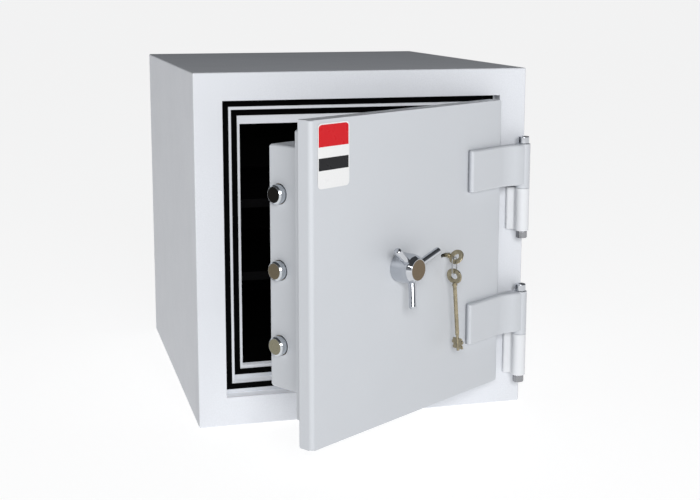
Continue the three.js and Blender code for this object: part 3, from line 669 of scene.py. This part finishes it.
def cover_screw(node):
    """Pan-head screw with a cross recess."""
    lows, highs = extents(node, SWING)
    head, radius = 2.2 * MM, 4.2 * MM
    shank_r, shank, overlap = 1.9 * MM, 12 * MM, 0.2 * MM
    arm, half, recess = 2.4 * MM, 0.55 * MM, 1.1 * MM
    centre = (lows + highs) / 2
    place = towards(Vector((centre.x, highs.y - head, centre.z)), INWARDS)
    dome = [(0, 0), (radius, 0), (radius - 0.3 * MM, 1.5 * MM), (0, head)]
    bm = bmesh.new()
    lathe(bm, rounded(dome, [0, 0.2 * MM, 0.8 * MM, 0]), place, 40)
    for x, y in ((arm, half), (half, arm)):
        cutter = bmesh.new()
        prism(cutter, rectangle(-x, x, -y, y), recess, 4 * MM, place)
        bm = carved(bm, cutter)
    lathe(bm, [(0, -shank), (shank_r, -shank), (shank_r, overlap), (0, overlap)], place, 24)
    bm.transform(SWING)
    install(f"{node}_finished", bm, [STEEL], "door", [node])


for number in range(1, 5):
    cover_screw(f"cover_screw_{number}")


# ---------------------------------------------------------------- sticker
STICKER_RED = printed_film("sticker_red", (0.62, 0.006, 0.012))
STICKER_WHITE = printed_film("sticker_white", (0.82, 0.82, 0.82))
STICKER_DARK = printed_film("sticker_dark", (0.012, 0.012, 0.014))


def sticker():
    """A plain sticker with round corners: two printed bands on a white sheet."""
    lows, highs = extents("rating_label", SWING)
    border, corner = 1.6 * MM, 6 * MM
    width, height = (highs.x - lows.x) / 2, highs.z - lows.z
    middle = (lows.x + highs.x) / 2

    def half_width(z, inset):
        """Half the sheet's width at height z, its edge drawn in by inset."""
        r = corner - inset
        low, high = lows.z + inset, highs.z - inset
        edge = min(z - low, high - z)
        if edge >= r:
            return width - inset
        return width - inset - r + math.sqrt(max(r * r - (r - edge) ** 2, 0))

    def band(bm, z0, z1, material):
        rows, columns = 14, 8
        strips = []
        for row in range(rows + 1):
            z = z0 + (z1 - z0) * row / rows
            half = max(half_width(z, border), 0.01 * MM)
            xs = [middle + half * (2 * s / columns - 1) for s in range(columns + 1)]
            strips.append([bm.verts.new((x, lows.y + 0.02 * MM, z)) for x in xs])
        for a, b in zip(strips, strips[1:]):
            for n in range(columns):
                bm.faces.new((a[n], a[n + 1], b[n + 1], b[n])).material_index = material

    bm = bmesh.new()
    outline = rounded(rectangle(lows.x, highs.x, lows.z, highs.z), [corner] * 4, True, 10)
    prism(bm, outline, lows.y + 0.05 * MM, highs.y, UPRIGHT, 1)
    inner_low, inner_high = lows.z + border, highs.z - border
    red_low = inner_high - 0.34 * height
    band(bm, red_low, inner_high, 0)
    band(bm, inner_low + 0.26 * height, red_low - 0.17 * height, 2)
    bm.transform(SWING)
    films = [STICKER_RED, STICKER_WHITE, STICKER_DARK]
    install("rating_label_finished", bm, films, "door", ["rating_label"])


sticker()


# ---------------------------------------------------------------- bolts
def round_bolt(node, body, tip_low, chamfer, face_color=(0.2, 0.18, 0.14)):
    """A plated round bolt with a faced end and a bright chamfer."""
    lows, highs = extents(node, SWING)
    centre = (lows + highs) / 2
    direction = Vector((-1, 0, 0)) if tip_low else Vector((1, 0, 0))
    tip = Vector((lows.x if tip_low else highs.x, centre.y, centre.z))
    length = highs.x - lows.x
    radius = (highs.z - lows.z) / 2
    place = towards(tip, direction)
    world_tip = SWING @ tip
    world_axis = (SWING.to_3x3() @ direction).normalized()
    # the end's colour holds the metal's tint and, on the locking bolts, a painted reflection
    face = turned_face(f"{node}_faced_end", face_color, 0.3, world_tip, world_axis)
    rim = radius - chamfer
    disc = rim - 0.25 * MM
    side = [(disc, 0), (rim, -0.1 * MM), (radius, -chamfer), (radius, -length), (0, -length)]
    bm = bmesh.new()
    lathe(bm, [(0, 0), (rim * 0.5, 0), (disc, 0)], place, 72, 1)
    lathe(bm, rounded(side, [0, 0.1 * MM, 0.4 * MM, 0.5 * MM, 0]), place, 72)
    bmesh.ops.remove_doubles(bm, verts=bm.verts, dist=1e-6)
    bm.transform(SWING)
    install(f"{node}_finished", bm, [NICKEL, face], body, [node])


# the faced ends of the locking bolts have a bronze tint and a painted reflection: darker going up, the upper one
# near black, for the dark interior they mirror
BOLT_END_TINTS_AND_REFLECTIONS = {"lower": (0.25, 0.235, 0.17), "middle": (0.15, 0.125, 0.085), "upper": (0.012, 0.011, 0.01)}
for level, tone in BOLT_END_TINTS_AND_REFLECTIONS.items():
    round_bolt(f"{level}_locking_bolt", "bolts", True, 2.2 * MM, tone)
    round_bolt(f"{level}_dog_bolt", "door", False, 1.6 * MM)


# ---------------------------------------------------------------- handle
def handle_hub():
    """A chromed hub that swells from a faced end into a round base."""
    lows, highs = extents("handle_hub", SWING)
    length = highs.y - lows.y
    nose = Vector((HANDLE_AT.x, lows.y, HANDLE_AT.z))
    place = towards(nose, INWARDS)
    world_axis = SWING.to_3x3() @ INWARDS
    face = turned_face("hub_faced_end", (0.2, 0.155, 0.105), 0.34, SWING @ nose, world_axis)
    disc, nose_r, shoulder_r, base_r = 14.6 * MM, 15.5 * MM, 19.4 * MM, 21 * MM
    side = [
        (disc, 0), (nose_r, 0), (shoulder_r, 6 * MM), (base_r, 13 * MM), (base_r, length), (0, length),
    ]
    bm = bmesh.new()
    lathe(bm, [(0, 0), (disc * 0.5, 0), (disc, 0)], place, 96, 1)
    lathe(bm, rounded(side, [0, 0.7 * MM, 5 * MM, 12 * MM, 0.8 * MM, 0], steps=8), place, 96)
    bmesh.ops.remove_doubles(bm, verts=bm.verts, dist=1e-6)
    bm.transform(SWING)
    install("handle_hub_finished", bm, [CHROME, face], "handle", ["handle_hub"])


# how many of a CAD spoke's points, those farthest from its tip, are averaged into its root
SPOKE_RING = 20


def handle_spoke(node):
    """A polished round spoke with a softly domed end, on the CAD spoke's own axis."""
    points = [v.co for v in frame["nodes"][node].data.vertices]
    hub = SWING @ Vector((HANDLE_AT.x, extents("handle_hub", SWING)[0].y, HANDLE_AT.z))
    tip = max(points, key=lambda p: (p - hub).length)
    root_ring = sorted(points, key=lambda p: (p - tip).length)[-SPOKE_RING:]
    root = sum(root_ring, Vector()) / len(root_ring)
    axis = (tip - root).normalized()
    radius, dome = 5.2 * MM, 3.4 * MM
    reach = (tip - root).length
    side = [(0, 0), (radius, 0), (radius, reach), (0, reach)]
    bm = bmesh.new()
    lathe(bm, rounded(side, [0, 0.3 * MM, dome, 0], steps=8), towards(root, axis), 56)
    install(f"{node}_finished", bm, [CHROME], "handle", [node])


handle_hub()
for number in range(1, 4):
    handle_spoke(f"handle_spoke_{number}")


# ---------------------------------------------------------------- keys and ring
BOW_R = 11.5 * MM
EYE_R = 4.5 * MM
BOW_HALF = 1.2 * MM
LOBE_DEPTH = 0.025
SHANK_R = 2.9 * MM
COLLAR_R = 3.9 * MM
PIPE_R, PIPE_BORE_R, PIPE_DEPTH = 2.2 * MM, 1.1 * MM, 8 * MM
KEY_TIP = 113.5 * MM
BIT_LENGTH, BIT_HALF, BIT_THICK = 16 * MM, 10 * MM, 2.6 * MM
BIT_CUTS = (2.5 * MM, 0.6 * MM, 3.2 * MM, 1.4 * MM)
BOW_AT = Vector((KEY_AT.x, FRONT - 24 * MM, KEY_AT.z))
KEY_LEAN = math.radians(-55)
# the ring's loop, seen from the front: its wire, its bends and their centres from the key's bow
WIRE_R = 0.8 * MM
BEND_R = 5.3 * MM
RING_X = -4.6 * MM
RING_TOP, RING_LOW = -5 * MM, -19 * MM
# the spare key's own widths fit its look in front; it hangs with this play, leaning to the right
SPARE_WIDTH, SPARE_EYE = 1.14, 1.3
SPARE_PLAY = 0.6 * MM
SPARE_LEAN = math.radians(-6)


def key_shape(bow_width, eye_width):
    """A double-bitted key along +Y, bow centre at the origin; bow and eye are widened in X."""
    segments = 96
    angles = [2 * math.pi * n / segments for n in range(segments)]
    bm = bmesh.new()

    def bow_ring(inset, height):
        radii = [BOW_R * (1 - LOBE_DEPTH * (1 + math.cos(4 * a)) / 2) - inset * MM for a in angles]
        spots = [(bow_width * r * math.cos(a), r * math.sin(a)) for r, a in zip(radii, angles)]
        return [bm.verts.new((x, y, height * BOW_HALF)) for x, y in spots]

    def eye_ring(inset, height):
        r = EYE_R + inset * MM
        spots = [(eye_width * r * math.cos(a), r * math.sin(a)) for a in angles]
        return [bm.verts.new((x, y, height * BOW_HALF)) for x, y in spots]

    chain = [bow_ring(*step) for step in ((0, -0.5), (0.25, -0.85), (0.7, -1))]
    for step in ((0.45, -1), (0.12, -0.85), (0, -0.5), (0, 0.5), (0.12, 0.85), (0.45, 1)):
        chain.append(eye_ring(*step))
    chain += [bow_ring(*step) for step in ((0.7, 1), (0.25, 0.85), (0, 0.5))]
    for a, b in zip(chain, chain[1:] + chain[:1]):
        for n in range(segments):
            m = (n + 1) % segments
            bm.faces.new((a[n], a[m], b[m], b[n]))
    soft = 0.4 * MM
    start, step, floor_of_pipe = BOW_R - 1.5 * MM, KEY_TIP - 24 * MM, KEY_TIP - PIPE_DEPTH
    shank = [
        (0, start), (SHANK_R, start), (SHANK_R, step), (PIPE_R, step + MM), (PIPE_R, KEY_TIP),
        (PIPE_BORE_R, KEY_TIP), (PIPE_BORE_R, floor_of_pipe), (0, floor_of_pipe),
    ]
    along = towards(Vector(), INWARDS)
    lathe(bm, rounded(shank, [0, soft, soft, soft, soft, 0.2 * MM, 0, 0], steps=3), along, 48)
    low, high = BOW_R + MM, BOW_R + 3 * MM
    collar = [(0, low), (COLLAR_R, low), (COLLAR_R, high), (0, high)]
    lathe(bm, rounded(collar, [0, soft, soft, 0], steps=3), along, 48)
    key_bit(bm)
    return bm


def key_bit(bm):
    """The key's two wings, each with its own row of cuts."""
    start = KEY_TIP - BIT_LENGTH - 3 * MM
    step = BIT_LENGTH / len(BIT_CUTS)
    outline = []
    for n, cut in enumerate(BIT_CUTS):
        outline += [(BIT_HALF - cut, start + n * step), (BIT_HALF - cut, start + (n + 1) * step)]
    mirrored = [(-x, y) for x, y in reversed(outline)]
    caps = prism(bm, outline + mirrored, -BIT_THICK / 2, BIT_THICK / 2)
    bevel(bm, rims(caps), 0.25 * MM, 2)


def key_ring():
    """A round steel wire closed into an upright loop."""
    turns, rise, sides = 24, 8, 16
    path = []
    for middle, goal, start in ((RING_TOP, RING_LOW, 0), (RING_LOW, RING_TOP, math.pi)):
        for n in range(turns + 1):
            a = start + math.pi * n / turns
            spot = (RING_X + BEND_R * math.cos(a), 0, middle + BEND_R * math.sin(a))
            path.append(Vector(spot))
        end = path[-1]
        path += [Vector((end.x, 0, end.z + (goal - end.z) * n / rise)) for n in range(1, rise)]
    bm = bmesh.new()
    rings = []
    for i, p in enumerate(path):
        ahead = (path[(i + 1) % len(path)] - path[i - 1]).normalized()
        across = ahead.cross(INWARDS)
        ring = []
        for s in range(sides):
            a = 2 * math.pi * s / sides
            ring.append(bm.verts.new(p + WIRE_R * (across * math.cos(a) + INWARDS * math.sin(a))))
        rings.append(ring)
    for a, b in zip(rings, rings[1:] + rings[:1]):
        for s in range(sides):
            t = (s + 1) % sides
            bm.faces.new((a[s], a[t], b[t], b[s]))
    bm.transform(SWING @ Matrix.Translation(BOW_AT))
    install("key_ring_finished", bm, [STEEL], "ring", ["key_ring"])


lock_key = key_shape(1, 1)
lock_key.transform(SWING @ Matrix.Translation(BOW_AT) @ Matrix.Rotation(KEY_LEAN, 4, "Y"))
install("lock_key_finished", lock_key, [KEY_METAL], "key", ["lock_key"])
spare_key = key_shape(SPARE_WIDTH, SPARE_EYE)
hung = (
    Matrix.Rotation(SPARE_LEAN, 4, "Y")
    @ Matrix.Rotation(math.pi / 2, 4, "Z")
    @ Matrix.Rotation(-math.pi / 2, 4, "X")
)
spare_drop = RING_LOW - BEND_R - EYE_R + WIRE_R + SPARE_PLAY
spare_at = BOW_AT + Vector((RING_X, 0, spare_drop))
spare_key.transform(SWING @ Matrix.Translation(spare_at) @ hung)
install("spare_key_finished", spare_key, [KEY_METAL], "spare", ["spare_key"])
key_ring()


# ---------------------------------------------------------------- hidden CAD pieces keep their shape
HIDDEN = {"mineral_fill": FILL, "steel": STEEL, "brass": BRASS}
SLOT_OF = {s["node"]: s["material_slot"] for s in frame["record"]["subparts"]}
for node, obj in frame["nodes"].items():
    if not obj.hide_render:
        obj.data.materials.clear()
        obj.data.materials.append(HIDDEN.get(SLOT_OF.get(node), STEEL))


# ---------------------------------------------------------------- floor, light and camera
scene = bpy.context.scene
FLOOR_HALF = 240
FLOOR_GLOW = 0.86
# the world's colour by height: position and colour of each stop, from the horizon up
WORLD_STOPS = ((0.0, (0.42, 0.43, 0.45)), (0.22, (0.16, 0.165, 0.175)), (0.75, (0.065, 0.068, 0.072)))
CAMERA_AT = (-0.4984, -2.0541, 0.6387)
CAMERA_TURN_DEG = (80.57, -0.05, -15.07)
CAMERA_LENS = 63.8
CAMERA_SHIFT_Y = -0.0714


def floor():
    """Pale paper that glows a little, so that it stays even out to the horizon."""
    bm = bmesh.new()
    bmesh.ops.create_grid(bm, x_segments=1, y_segments=1, size=FLOOR_HALF)
    mat, tree, bsdf, coords = shader("floor_paper", (0.3, 0.3, 0.3), 0.9)
    bsdf.inputs["Specular IOR Level"].default_value = 0.0
    bsdf.inputs["Emission Color"].default_value = (1, 1, 1, 1)
    bsdf.inputs["Emission Strength"].default_value = FLOOR_GLOW
    obj = mesh_object("studio_floor", bm, [mat])
    obj.location.z = -0.2 * MM


floor()


def area_light(name, location, target, size, power):
    """A rectangular soft light at location, aimed at target."""
    data = bpy.data.lights.new(name, "AREA")
    data.shape = "RECTANGLE"
    data.size, data.size_y = size
    data.energy = power
    obj = bpy.data.objects.new(name, data)
    obj.location = location
    obj.rotation_mode = "QUATERNION"
    obj.rotation_quaternion = (Vector(target) - Vector(location)).to_track_quat("-Z", "Y")
    scene.collection.objects.link(obj)


area_light("key_softbox", (-0.5, -3.6, 1.45), (0, -0.2, 0.27), (1.7, 1.2), 76)

world = bpy.data.worlds.new("studio")
world.use_nodes = True
scene.world = world
tree = world.node_tree
background = tree.nodes["Background"]
direction = tree.nodes.new("ShaderNodeTexCoord").outputs["Generated"]
height = add(tree, "ShaderNodeSeparateXYZ", {}, {0: direction}).outputs["Z"]
ramp = add(tree, "ShaderNodeValToRGB", {}, {"Fac": height})
stops = ramp.color_ramp.elements
stops.new(WORLD_STOPS[1][0])
for stop, (position, color) in zip(stops, WORLD_STOPS):
    stop.position = position
    stop.color = (*color, 1)
tree.links.new(ramp.outputs["Color"], background.inputs["Color"])
background.inputs["Strength"].default_value = 1.0

camera = bpy.data.cameras.new("camera")
camera.lens = CAMERA_LENS
camera.shift_y = CAMERA_SHIFT_Y
eye = bpy.data.objects.new("camera", camera)
eye.location = CAMERA_AT
eye.rotation_euler = tuple(math.radians(a) for a in CAMERA_TURN_DEG)
scene.collection.objects.link(eye)
scene.camera = eye
scene.view_settings.view_transform = "Standard"
